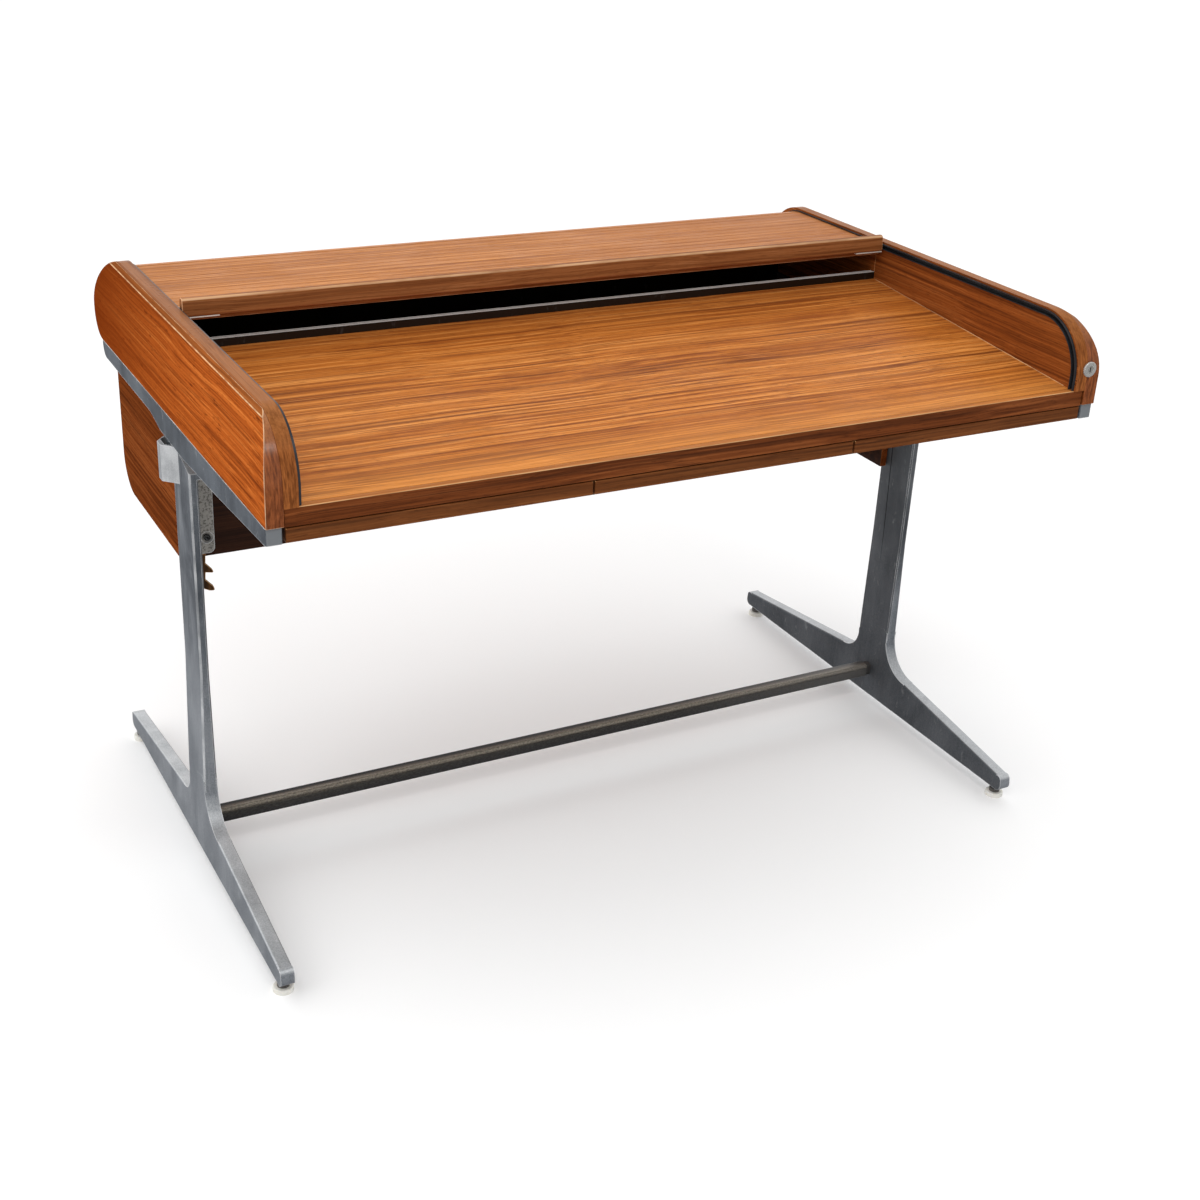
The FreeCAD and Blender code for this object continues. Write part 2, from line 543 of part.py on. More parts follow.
# lead bar with its raised finger lip
yb = y_h0 - N_HINGED * P_HINGED - GAP / 2
lead = prism_x(-XS, XS, (LEAD_Y0 + 3.0, LEAD_Z0), [
    ((LEAD_Y0 + 0.9, LEAD_Z0 + 0.9), (LEAD_Y0, LEAD_Z0 + 3.0)),
    (LEAD_Y0 + 1.2, LEAD_Z1 - 5.0),
    ((LEAD_Y0 + 2.9, LEAD_Z1 - 1.4), (LEAD_Y0 + 6.2, LEAD_Z1)),
    (LEAD_Y0 + 9.5, LEAD_Z1 - 0.4),
    ((LEAD_Y0 + 12.0, LEAD_Z1 - 1.6), (LEAD_Y0 + 13.0, LEAD_Z1 - 4.0)),
    (LEAD_Y0 + 14.0, Z_SLAT + 4.0),
    (LEAD_Y0 + 14.0, Z_LAY[2] + T_LAY),
    (yb, Z_LAY[2] + T_LAY), (yb, Z_LAY[2]),
    (LEAD_Y0 + 9.0, Z_LAY[2]), (LEAD_Y0 + 8.0, LEAD_Z0)])
node("tambour_lead_bar", lead)
shoes = []
for sx in (-1, 1):
    a, b = sx * 535.0, sx * XS
    shoes.append(box(min(a, b), max(a, b), LEAD_Y0 + 1.0, LEAD_Y0 + 7.5, LEAD_Z0 - 1.6, LEAD_Z0 - 0.05))
node("lead_bar_plates", *shoes)

# ---------------------------------------------------------------- write
os.makedirs("parts", exist_ok=True)
for old in os.listdir("parts"):
    if old.endswith(".step"):
        os.remove(os.path.join("parts", old))
for name, solids in NODES.items():
    shp = solids[0] if len(solids) == 1 else Part.makeCompound(solids)
    shp.exportStep("parts/%s.step" % name)
allb = FreeCAD.BoundBox()
for name, solids in NODES.items():
    for s in solids:
        allb.add(s.BoundBox)
print(len(NODES), "nodes", sum(len(s) for s in NODES.values()), "solids")
print("box", [round(v, 2) for v in (allb.XMin, allb.YMin, allb.ZMin, allb.XMax, allb.YMax, allb.ZMax)])
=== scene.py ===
import json
import math
import random

import bmesh
import bpy
from mathutils import Matrix, Vector


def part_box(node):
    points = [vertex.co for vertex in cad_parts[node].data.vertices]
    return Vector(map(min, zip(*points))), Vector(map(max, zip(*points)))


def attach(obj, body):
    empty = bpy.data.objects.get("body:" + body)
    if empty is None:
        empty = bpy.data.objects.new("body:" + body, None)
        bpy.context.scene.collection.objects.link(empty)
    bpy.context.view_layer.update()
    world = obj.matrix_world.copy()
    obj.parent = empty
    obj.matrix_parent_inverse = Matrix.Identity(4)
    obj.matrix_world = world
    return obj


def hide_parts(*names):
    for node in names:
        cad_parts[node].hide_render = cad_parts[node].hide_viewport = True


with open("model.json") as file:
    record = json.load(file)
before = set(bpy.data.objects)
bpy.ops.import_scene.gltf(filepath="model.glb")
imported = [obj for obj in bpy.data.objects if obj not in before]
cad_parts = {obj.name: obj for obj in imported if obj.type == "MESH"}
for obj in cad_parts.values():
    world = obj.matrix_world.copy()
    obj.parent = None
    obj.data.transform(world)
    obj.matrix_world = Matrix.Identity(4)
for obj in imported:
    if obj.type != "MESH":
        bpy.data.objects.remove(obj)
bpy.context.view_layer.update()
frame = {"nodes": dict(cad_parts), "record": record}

NODES = frame["nodes"]
REC = frame["record"]
BODY_OF = {n: b for b, ns in REC["behaviour"]["bodies"].items() for n in ns}
scene = bpy.context.scene
random.seed(11)

# ------------------------------------------------------------------ camera
RIGHT = Vector((0.8838551, -0.4656022, 0.0448852))
DOWN = Vector((-0.1657528, -0.4014831, -0.9007426))
FWD = Vector((0.4374084, 0.7886862, -0.4320278))
EYE = Vector((-1.18182, -2.18411, 1.50823))
cam_d = bpy.data.cameras.new("camera")
cam_d.sensor_width = 36.0
cam_d.sensor_fit = "HORIZONTAL"
cam_d.lens = 1721.78 / 1200.0 * 36.0
cam_d.shift_x = 8.1 / 1200.0
cam_d.shift_y = -1.9 / 1200.0
cam_d.clip_start = 0.05
cam_d.clip_end = 400.0
cam = bpy.data.objects.new("camera", cam_d)
scene.collection.objects.link(cam)
m = Matrix.Identity(4)
for i in range(3):
    m[i][0] = RIGHT[i]
    m[i][1] = -DOWN[i]
    m[i][2] = -FWD[i]
    m[i][3] = EYE[i]
cam.matrix_world = m
scene.camera = cam


# ------------------------------------------------------------------ node helpers
class Mat:
    """Small builder for a node material."""

    def __init__(self, name):
        self.m = bpy.data.materials.new(name)
        self.m.use_nodes = True
        self.t = self.m.node_tree
        self.t.nodes.clear()
        self.out = self.t.nodes.new("ShaderNodeOutputMaterial")
        self.b = self.t.nodes.new("ShaderNodeBsdfPrincipled")
        self.t.links.new(self.b.outputs[0], self.out.inputs[0])

    def n(self, kind, **kw):
        x = self.t.nodes.new(kind)
        for k, v in kw.items():
            setattr(x, k, v)
        return x

    def link(self, a, b):
        self.t.links.new(a, b)

    def coords(self):
        return self.n("ShaderNodeTexCoord").outputs["Object"]

    def mapping(self, src, scale=(1, 1, 1), loc=(0, 0, 0), rot=(0, 0, 0)):
        x = self.n("ShaderNodeMapping")
        x.inputs["Scale"].default_value = scale
        x.inputs["Location"].default_value = loc
        x.inputs["Rotation"].default_value = rot
        self.link(src, x.inputs["Vector"])
        return x.outputs[0]

    def noise(self, vec, scale, detail=4.0, rough=0.55, dist=0.0, dim="3D"):
        x = self.n("ShaderNodeTexNoise")
        x.noise_dimensions = dim
        x.inputs["Scale"].default_value = scale
        x.inputs["Detail"].default_value = detail
        x.inputs["Roughness"].default_value = rough
        x.inputs["Distortion"].default_value = dist
        self.link(vec, x.inputs["Vector"])
        return x.outputs[0]

    def ramp(self, fac, stops, interp="LINEAR"):
        x = self.n("ShaderNodeValToRGB")
        x.color_ramp.interpolation = interp
        el = x.color_ramp.elements
        while len(el) < len(stops):
            el.new(0.5)
        for e, (p, c) in zip(el, stops):
            e.position = p
            e.color = c if len(c) == 4 else (c[0], c[1], c[2], 1.0)
        self.link(fac, x.inputs[0])
        return x.outputs[0]

    def grey(self, fac, lo, hi, a=0.0, b=1.0):
        """Map fac from lo..hi to a..b, clamped."""
        x = self.n("ShaderNodeMapRange")
        x.clamp = True
        x.inputs[1].default_value = lo
        x.inputs[2].default_value = hi
        x.inputs[3].default_value = a
        x.inputs[4].default_value = b
        self.link(fac, x.inputs[0])
        return x.outputs[0]

    def mix(self, fac, a, b, mode="MIX"):
        x = self.n("ShaderNodeMix")
        x.data_type = "RGBA"
        x.blend_type = mode
        if isinstance(fac, float):
            x.inputs[0].default_value = fac
        else:
            self.link(fac, x.inputs[0])
        for sock, v in ((x.inputs[6], a), (x.inputs[7], b)):
            if isinstance(v, tuple):
                sock.default_value = v if len(v) == 4 else (v[0], v[1], v[2], 1.0)
            else:
                self.link(v, sock)
        return x.outputs[2]

    def math(self, op, a, b=None, clamp=False):
        x = self.n("ShaderNodeMath")
        x.operation = op
        x.use_clamp = clamp
        for i, v in enumerate((a, b)):
            if v is None:
                continue
            if isinstance(v, (int, float)):
                x.inputs[i].default_value = v
            else:
                self.link(v, x.inputs[i])
        return x.outputs[0]

    def attr(self, name):
        x = self.n("ShaderNodeAttribute")
        x.attribute_name = name
        return x.outputs["Fac"]

    def xyz(self, vec):
        x = self.n("ShaderNodeSeparateXYZ")
        self.link(vec, x.inputs[0])
        return x.outputs

    def bump(self, height, strength, dist):
        x = self.n("ShaderNodeBump")
        x.inputs["Strength"].default_value = strength
        x.inputs["Distance"].default_value = dist
        self.link(height, x.inputs["Height"])
        self.link(x.outputs[0], self.b.inputs["Normal"])
        return x


def wood(name, axis, lo, mid, hi, dark, seed, rough=0.36, coat=0.0, wear=(0.60, 0.33, 0.14), wear_amt=0.8,
         broad=0.07, streak=0.011, dark_amt=0.55, spec=0.12, painted_light_and_shade=None, end=None, front=None, ridge_highlight_and_wear=None, up=None, sticks=0.0, flecks=0.0):
    """Oiled, straight-grained wood; axis is the direction of the grain."""
    k = Mat(name)
    co = k.coords()
    off = (seed * 1.37, seed * 2.11, seed * 0.73)

    def grain(cross, along, detail, rgh, dist=0.0, lo_=0.36, hi_=0.64, shift=0.0):
        sc = [1.0 / cross] * 3
        sc["XYZ".index(axis)] = 1.0 / along
        v = k.noise(k.mapping(wander, scale=tuple(sc), loc=(off[0] + shift, off[1] + shift, off[2])), 1.0, detail, rgh, dist)
        return k.grey(v, lo_, hi_)

    # slow wander of the grain across the board
    wv = k.noise(k.mapping(co, scale=(2.2, 2.2, 2.2), loc=off), 1.0, 2.0, 0.5)
    sub = k.math("MULTIPLY", k.math("SUBTRACT", wv, 0.5), 0.024)
    cmb = k.n("ShaderNodeCombineXYZ")
    for i in range(3):
        if "XYZ"[i] != axis:
            k.link(sub, cmb.inputs[i])
    ad = k.n("ShaderNodeVectorMath", operation="ADD")
    k.link(co, ad.inputs[0])
    k.link(cmb.outputs[0], ad.inputs[1])
    wander = ad.outputs[0]
    if sticks:
        # every slat is a stick of its own, with its own piece of grain
        stick = k.n("ShaderNodeNewGeometry").outputs["Random Per Island"]
        cs = k.n("ShaderNodeCombineXYZ")
        k.link(k.math("MULTIPLY", stick, 7.0), cs.inputs[0])
        k.link(k.math("MULTIPLY", stick, 1.3), cs.inputs[2])
        a2 = k.n("ShaderNodeVectorMath", operation="ADD")
        k.link(wander, a2.inputs[0])
        k.link(cs.outputs[0], a2.inputs[1])
        wander = a2.outputs[0]
    bands = grain(broad, 2.4, 2.0, 0.5)
    streaks = grain(streak, 0.75, 3.0, 0.62, 0.06, 0.40, 0.60)
    fine = grain(streak * 0.24, 0.30, 3.0, 0.62, 0.0, 0.38, 0.62, shift=4.0)
    heavy = grain(streak * 1.2, 0.85, 3.0, 0.62, 0.06, 0.53, 0.66, shift=9.0)
    thin = grain(streak * 0.40, 0.60, 3.0, 0.6, 0.0, 0.56, 0.66, shift=6.0)
    pores = grain(0.0011, 0.016, 1.0, 0.5, 0.0, 0.60, 0.76, shift=2.0)
    lines = grain(streak * 0.28, 1.50, 2.0, 0.5, 0.0, 0.60, 0.68, shift=13.0)
    tone = k.math("ADD", k.math("MULTIPLY", bands, 0.25), k.math("ADD", k.math("MULTIPLY", streaks, 0.37), k.math("MULTIPLY", fine, 0.38)))
    if sticks:
        tone = k.math("ADD", tone, k.math("MULTIPLY", k.math("SUBTRACT", stick, 0.5), sticks))
    col = k.ramp(tone, [(0.18, lo), (0.46, mid), (0.56, mid), (0.84, hi)])
    col = k.mix(k.math("MULTIPLY", lines, dark_amt * 1.1), col, dark)
    col = k.mix(k.math("MULTIPLY", heavy, dark_amt), col, dark)
    col = k.mix(k.math("MULTIPLY", thin, dark_amt * 0.9), col, dark)
    if flecks:
        # short dark flecks here and there
        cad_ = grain(0.0045, 0.034, 2.0, 0.5, 0.0, 0.66, 0.74, shift=17.0)
        col = k.mix(k.math("MULTIPLY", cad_, flecks), col, dark)
    pore_f = k.math("MULTIPLY", pores, 0.55)
    col = k.mix(pore_f, col, (dark[0] * 0.6, dark[1] * 0.55, dark[2] * 0.5))
    # tints along one axis: painted shade and painted light, gradients standing in for how the light falls
    for tn in painted_light_and_shade or ():
        v = k.xyz(co)["XYZ".index(tn[0])]
        col = k.mix(k.grey(v, tn[1], tn[2], 0.0, tn[3]), col, tn[4])
    if end or front or ridge_highlight_and_wear or up:
        nrm = k.xyz(k.n("ShaderNodeNewGeometry").outputs["Normal"])
    if end:
        # end grain on the faces across the grain
        rings = k.grey(k.noise(k.mapping(co, scale=(420.0, 30.0, 60.0), loc=off), 1.0, 3.0, 0.6), 0.35, 0.65)
        ec = k.mix(rings, (end[0] * 0.55, end[1] * 0.5, end[2] * 0.5), (end[0] * 1.4, end[1] * 1.4, end[2] * 1.4))
        col = k.mix(k.grey(k.math("ABSOLUTE", nrm["XYZ".index(axis)]), 0.30, 0.75), col, ec)
    if front:
        # faces that look forward are painted darker than those that look up: painted shade
        col = k.mix(k.grey(k.math("MULTIPLY", nrm[1], -1.0), 0.35, 0.85, 0.0, front[3]), col, front[:3])
    if up:
        # upward faces take a lighter golden brown
        uc = k.mix(tone, (up[0] * 0.6, up[1] * 0.55, up[2] * 0.5), (up[0] * 1.3, up[1] * 1.35, up[2] * 1.4))
        col = k.mix(k.grey(nrm[2], 0.5, 0.9), col, uc)
    if ridge_highlight_and_wear:
        # the arris between the front and the top is painted pale in patches: painted highlight, with rubbed wear
        rg = k.grey(k.math("MULTIPLY", nrm[1], k.math("MULTIPLY", nrm[2], -1.0)), 0.30, 0.46)
        rn = k.grey(k.noise(k.mapping(co, scale=(9.0, 40.0, 40.0), loc=off), 1.0, 3.0, 0.6), 0.34, 0.60, 0.25, ridge_highlight_and_wear[3])
        col = k.mix(k.math("MULTIPLY", rg, rn), col, ridge_highlight_and_wear[:3])
    # worn arrises
    w = k.attr("wear")
    wn2 = k.noise(k.mapping(co, loc=(0, seed, 0)), 34.0, 3.0, 0.6)
    wf = k.math("MULTIPLY", w, k.grey(wn2, 0.36, 0.58, 0.28, wear_amt))
    col = k.mix(wf, col, wear)
    k.link(col, k.b.inputs["Base Color"])
    r = k.grey(k.noise(k.mapping(co, loc=(seed, seed, 0)), 14.0, 4.0, 0.6), 0.3, 0.7, rough - 0.06, rough + 0.09)
    k.link(r, k.b.inputs["Roughness"])
    k.b.inputs["Coat Weight"].default_value = coat
    k.b.inputs["Coat Roughness"].default_value = 0.2
    k.b.inputs["Specular IOR Level"].default_value = spec
    h = k.math("SUBTRACT", k.math("MULTIPLY", fine, 0.4), k.math("MULTIPLY", pores, 0.9))
    k.bump(h, 0.2, 0.0003)
    return k.m


def metal(name, axis, lo, hi, rough=(0.30, 0.46), scuff=0.3, inner=None, metallic=0.85, seed=0.0, grain=420.0,
          bright=(0.62, 0.64, 0.66), side=None, brushed=0.4, edge=(0.15, 0.8),
          end_painted_light=None, patch=None, rim=0.0, line=None, upward_painted_light=None, high=None, head=None, grime=0.10):
    """Satin metal rubbed along one direction, with scuffs; inner is the colour of the faces towards the middle, painted
    darker as painted shade.
    """
    k = Mat(name)
    co = k.coords()
    sc = {"X": (6.0, grain, grain), "Y": (grain, 6.0, grain), "Z": (grain, grain, 6.0)}[axis]
    brush = k.grey(k.noise(k.mapping(co, scale=sc, loc=(seed, seed * 2, 0)), 1.0, 3.0, 0.6), 0.32, 0.68)
    cloud = k.grey(k.noise(k.mapping(co, scale=(1.0, 1.0, 0.45), loc=(seed, 0, seed)), 13.0, 6.0, 0.66, 0.3), 0.30, 0.70)
    grit = k.grey(k.noise(k.mapping(co, loc=(0, 0, seed)), 620.0, 2.0, 0.5), 0.35, 0.65, -grime, grime)
    spots = k.noise(k.mapping(co, scale=(1, 1, 0.5), loc=(0, seed, 0)), 90.0, 4.0, 0.65, 0.6)
    tone = k.math("ADD", k.math("MULTIPLY", brush, brushed), k.math("ADD", grit, k.math("MULTIPLY", cloud, 1.0 - brushed)))
    col = k.ramp(tone, [(0.15, lo), (0.85, hi)])
    if high:
        # darker in clouds higher up
        hz = k.grey(k.xyz(co)[2], high[0], high[1])
        hn = k.grey(k.noise(k.mapping(co, scale=(1.0, 1.0, 0.35), loc=(5, seed, 1)), 24.0, 5.0, 0.7, 0.4), 0.34, 0.62, high[3], high[4])
        col = k.mix(k.math("MULTIPLY", hz, hn), col, high[2])
    if upward_painted_light:
        # upward faces are painted lighter: painted light
        un = k.xyz(k.n("ShaderNodeNewGeometry").outputs["Normal"])[2]
        col = k.mix(k.grey(un, 0.20, 0.70), col, k.mix(tone, upward_painted_light[0], upward_painted_light[1]))
    if head:
        hd = k.math("MULTIPLY", k.math("GREATER_THAN", k.xyz(co)[2], head[0]), k.math("GREATER_THAN", k.xyz(co)[1], head[1]))
        hd = k.math("MULTIPLY", hd, k.math("GREATER_THAN", k.math("ABSOLUTE", k.xyz(co)[0]), 0.6022))
        col = k.mix(hd, col, k.mix(tone, head[2], head[3]))
    if inner:
        # faces that look towards the middle are painted darker, deepest low down: painted shade
        ge = k.n("ShaderNodeNewGeometry")
        nx = k.xyz(ge.outputs["Normal"])[0]
        px = k.xyz(ge.outputs["Position"])[0]
        inward = k.math("MULTIPLY", k.math("MULTIPLY", nx, k.math("SIGN", px)), -1.0)
        ramp = k.grey(inward, 0.25, 0.8, 0.0, 0.85)
        # with line given, the forward faces of the right-hand leg are painted darker too: painted shade
        if line:
            fw = k.math("MULTIPLY", k.xyz(ge.outputs["Normal"])[1], -1.0)
            fw = k.math("MULTIPLY", k.grey(fw, 0.5, 0.9, 0.0, 0.7), k.math("MULTIPLY", k.math("GREATER_THAN", px, 0.3), k.grey(k.xyz(co)[2], 0.20, 0.36)))
            ramp = k.math("MAXIMUM", ramp, fw)
        lowc = k.mix(tone, (inner[0] * 0.55, inner[1] * 0.55, inner[2] * 0.55), (inner[0] * 1.35, inner[1] * 1.35, inner[2] * 1.35))
        topc = k.mix(cloud, (inner[0] * 0.8, inner[1] * 0.8, inner[2] * 0.78), (inner[0] * 2.3, inner[1] * 2.3, inner[2] * 2.2))
        col = k.mix(ramp, col, k.mix(k.grey(k.xyz(co)[2], 0.22, 0.52), lowc, topc))
    if side:
        # faces that do not look up are painted near black: painted shade
        up = k.xyz(k.n("ShaderNodeNewGeometry").outputs["Normal"])[2]
        col = k.mix(k.grey(up, 0.5, 0.8), side, col)
    sp = k.grey(spots, 0.62, 0.74, 0.0, scuff)
    col = k.mix(sp, col, bright)
    if end_painted_light:
        # faces that look forward are painted lighter: painted light on the end faces
        fy = k.xyz(k.n("ShaderNodeNewGeometry").outputs["Normal"])[1]
        col = k.mix(k.grey(k.math("MULTIPLY", fy, -1.0), 0.75, 0.95), col, end_painted_light)
    if line:
        # thin joint line along the inner face: y = line[0] + line[1] * (z - line[2]), from line[2] to line[3]
        lc = k.xyz(co)
        ly = k.math("ADD", k.math("MULTIPLY", k.math("SUBTRACT", lc[2], line[2]), line[1]), line[0])
        ld = k.grey(k.math("ABSOLUTE", k.math("SUBTRACT", lc[1], ly)), 0.0006, 0.0014, 1.0, 0.0)
        lz = k.math("MULTIPLY", k.grey(lc[2], line[2], line[2] + 0.09), k.math("LESS_THAN", lc[2], line[3]))
        col = k.mix(k.math("MULTIPLY", k.math("MULTIPLY", ld, lz), k.math("GREATER_THAN", inward, 0.6)), col, (0.012, 0.012, 0.014))
    if patch:
        pc = k.xyz(co)
        inx = k.math("LESS_THAN", k.math("ABSOLUTE", pc[0]), patch[0])
        inz = k.math("MULTIPLY", k.math("GREATER_THAN", pc[2], patch[1]), k.math("LESS_THAN", pc[2], patch[2]))
        pit = k.grey(k.noise(k.mapping(co), 330.0, 3.0, 0.6), 0.36, 0.52)
        col = k.mix(k.math("MULTIPLY", inx, inz), col, k.mix(pit, (patch[3][0] * 0.4, patch[3][1] * 0.4, patch[3][2] * 0.4), patch[3]))
    w = k.attr("wear")
    if rim:
        bv = k.n("ShaderNodeBevel", samples=6)
        bv.inputs["Radius"].default_value = rim
        dt = k.n("ShaderNodeVectorMath", operation="DOT_PRODUCT")
        k.link(bv.outputs[0], dt.inputs[0])
        k.link(k.n("ShaderNodeNewGeometry").outputs["Normal"], dt.inputs[1])
        w = k.math("MAXIMUM", w, k.grey(dt.outputs["Value"], 0.93, 0.995, 1.0, 0.0))
        if line:
            fx = k.math("GREATER_THAN", k.math("ABSOLUTE", nx), 0.93)
            rz = k.math("MULTIPLY", k.math("GREATER_THAN", k.xyz(co)[2], 0.135), k.math("LESS_THAN", k.xyz(co)[2], 0.20))
            w = k.math("MULTIPLY", w, k.math("SUBTRACT", 1.0, k.math("MULTIPLY", fx, rz)))
    # bright edges: rubbed wear on the eased edges, and painted highlight where the leg chamfers are marked
    wf = k.math("MULTIPLY", w, k.grey(k.noise(k.mapping(co), 26.0, 3.0, 0.6), 0.36, 0.62, edge[0], edge[1]))
    col = k.mix(wf, col, bright)
    k.link(col, k.b.inputs["Base Color"])
    k.b.inputs["Metallic"].default_value = metallic
    k.b.inputs["Specular IOR Level"].default_value = 0.2
    r = k.grey(tone, 0.2, 0.8, rough[0], rough[1])
    k.link(r, k.b.inputs["Roughness"])
    k.bump(k.math("ADD", k.math("MULTIPLY", brush, brushed), k.math("MULTIPLY", spots, 0.5)), 0.15, 0.0003)
    return k.m


def plastic(name, lo, hi, rough=0.45, scale=180.0, bump=0.12, sss=0.0):
    k = Mat(name)
    co = k.coords()
    a = k.noise(k.mapping(co), scale, 3.0, 0.6)
    c = k.noise(k.mapping(co, loc=(3, 1, 2)), 22.0, 4.0, 0.6)
    col = k.ramp(c, [(0.3, lo), (0.7, hi)])
    k.link(col, k.b.inputs["Base Color"])
    k.link(k.grey(c, 0.3, 0.7, rough - 0.08, rough + 0.1), k.b.inputs["Roughness"])
    if sss:
        k.b.inputs["Subsurface Weight"].default_value = sss
        k.b.inputs["Subsurface Radius"].default_value = (0.004, 0.003, 0.002)
    k.b.inputs["Specular IOR Level"].default_value = 0.25
    k.bump(a, bump, 0.0002)
    return k.m


def bar(name, node):
    """Dark steel with a painted highlight along its upper front arris and painted shade on the faces around it."""
    k = Mat(name)
    co = k.coords()
    lo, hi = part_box(node)
    c = k.xyz(co)
    s = k.math("ADD", k.math("SUBTRACT", c[1], lo[1]), k.math("SUBTRACT", c[2], hi[2]))
    wob = k.noise(k.mapping(co, scale=(3.0, 60.0, 60.0)), 1.0, 4.0, 0.6)
    s = k.math("ADD", s, k.math("MULTIPLY", k.math("SUBTRACT", wob, 0.5), 0.009))
    speck = k.noise(k.mapping(co, scale=(1.0, 2.0, 2.0)), 260.0, 4.0, 0.7)
    # painted highlight: a tan band along the upper front arris; painted shade: darker down the front face and near
    # black towards the rear of the top
    col = k.ramp(k.grey(s, -0.024, 0.020), [(0.0, (0.052, 0.053, 0.056)), (0.36, (0.080, 0.074, 0.068)), (0.47, (0.330, 0.290, 0.235)),
                                            (0.60, (0.370, 0.330, 0.265)), (0.73, (0.120, 0.088, 0.064)), (0.82, (0.012, 0.010, 0.009))])
    col = k.mix(k.grey(speck, 0.42, 0.62, 0.55, 0.0), col, (0.020, 0.018, 0.017))
    # painted light: lighter towards the right-hand end
    col = k.mix(k.grey(c[0], 0.20, 0.60, 0.0, 0.35), col, (0.300, 0.290, 0.275))
    k.link(col, k.b.inputs["Base Color"])
    k.b.inputs["Metallic"].default_value = 0.35
    k.b.inputs["Specular IOR Level"].default_value = 0.15
    k.link(k.grey(wob, 0.3, 0.7, 0.34, 0.50), k.b.inputs["Roughness"])
    k.bump(speck, 0.1, 0.0002)
    return k.m


# ------------------------------------------------------------------ materials
M = {}
# the top is painted darker towards the rear (painted shade under the tambour) and lighter towards the front edge
# (painted light)
M["top"] = wood("writing_top_wood", "X", (0.315, 0.084, 0.014), (0.525, 0.170, 0.028), (0.720, 0.285, 0.068), (0.130, 0.031, 0.008), 3.0, spec=0.03, streak=0.0068, dark_amt=0.74, flecks=0.5,
                painted_light_and_shade=[("Y", -0.12, 0.115, 0.34, (0.24, 0.048, 0.010)), ("Y", -0.32, -0.40, 0.40, (0.74, 0.31, 0.075))])
# the tambour is painted darker towards the right: painted shade
M["tambour"] = wood("tambour_wood", "X", (0.370, 0.130, 0.034), (0.510, 0.200, 0.061), (0.640, 0.274, 0.095), (0.220, 0.066, 0.020), 8.0, rough=0.45, spec=0.04,
                    dark_amt=0.45, streak=0.0075, sticks=0.20, painted_light_and_shade=[("X", -0.05, 0.60, 0.34, (0.330, 0.118, 0.045))])
# the lead bar: front faces painted darker (painted shade), the arris between front and top painted pale (painted
# highlight, with rubbed wear)
M["lead"] = wood("lead_bar_wood", "X", (0.215, 0.070, 0.020), (0.330, 0.122, 0.040), (0.460, 0.190, 0.072), (0.110, 0.033, 0.010), 9.0, rough=0.42, streak=0.006,
                 wear=(0.70, 0.40, 0.22), wear_amt=0.95, spec=0.05, front=(0.175, 0.058, 0.016, 0.34),
                 ridge_highlight_and_wear=(0.66, 0.40, 0.22, 0.9))
SIDE = ((0.270, 0.055, 0.009), (0.430, 0.098, 0.016), (0.580, 0.165, 0.032), (0.130, 0.026, 0.006))
# the outer sides are painted darker towards the rear: painted shade
M["side"] = wood("side_wood", "Y", *SIDE, 5.0, rough=0.28, streak=0.007, dark_amt=0.58, flecks=0.8, spec=0.0, wear=(0.74, 0.46, 0.25), wear_amt=0.95,
                 painted_light_and_shade=[("Y", -0.12, 0.40, 0.85, (0.145, 0.023, 0.003))], end=(0.135, 0.044, 0.017), up=(0.285, 0.103, 0.031))
M["side_end"] = wood("side_end_wood", "Y", *SIDE, 5.0, rough=0.22, coat=0.28, streak=0.009, dark_amt=0.6, spec=0.14, wear=(0.70, 0.46, 0.28), wear_amt=0.7,
                     end=(0.190, 0.054, 0.015), up=(0.285, 0.103, 0.031))
M["cheek"] = wood("inner_side_wood", "Y", (0.150, 0.038, 0.009), (0.255, 0.068, 0.014), (0.370, 0.112, 0.027), (0.070, 0.018, 0.006), 6.5, rough=0.30, spec=0.02, dark_amt=0.40, streak=0.008,
                  end=(0.230, 0.075, 0.020), up=(0.285, 0.103, 0.031))
M["edging"] = wood("edging_wood", "X", (0.084, 0.021, 0.005), (0.142, 0.037, 0.009), (0.218, 0.064, 0.017), (0.044, 0.012, 0.004), 12.0, rough=0.42, spec=0.04,
                   wear=(0.62, 0.36, 0.16), wear_amt=0.95, up=(0.460, 0.165, 0.040), ridge_highlight_and_wear=(0.70, 0.42, 0.20, 0.85))
M["drawer"] = wood("drawer_front_wood", "X", (0.086, 0.025, 0.006), (0.132, 0.040, 0.010), (0.190, 0.063, 0.017), (0.046, 0.014, 0.004), 15.0, rough=0.45, spec=0.06)
M["bin"] = wood("bin_wood", "Y", (0.112, 0.026, 0.006), (0.172, 0.042, 0.010), (0.240, 0.066, 0.017), (0.055, 0.013, 0.004), 21.0, rough=0.30, streak=0.011, flecks=0.6, spec=0.0)
M["bin_x"] = wood("bin_back_wood", "X", (0.150, 0.038, 0.010), (0.220, 0.060, 0.015), (0.300, 0.090, 0.024), (0.080, 0.021, 0.007), 27.0, rough=0.45, streak=0.013)
M["shade"] = wood("shaded_wood", "X", (0.030, 0.009, 0.004), (0.046, 0.014, 0.005), (0.066, 0.021, 0.007), (0.018, 0.006, 0.003), 31.0, rough=0.55)
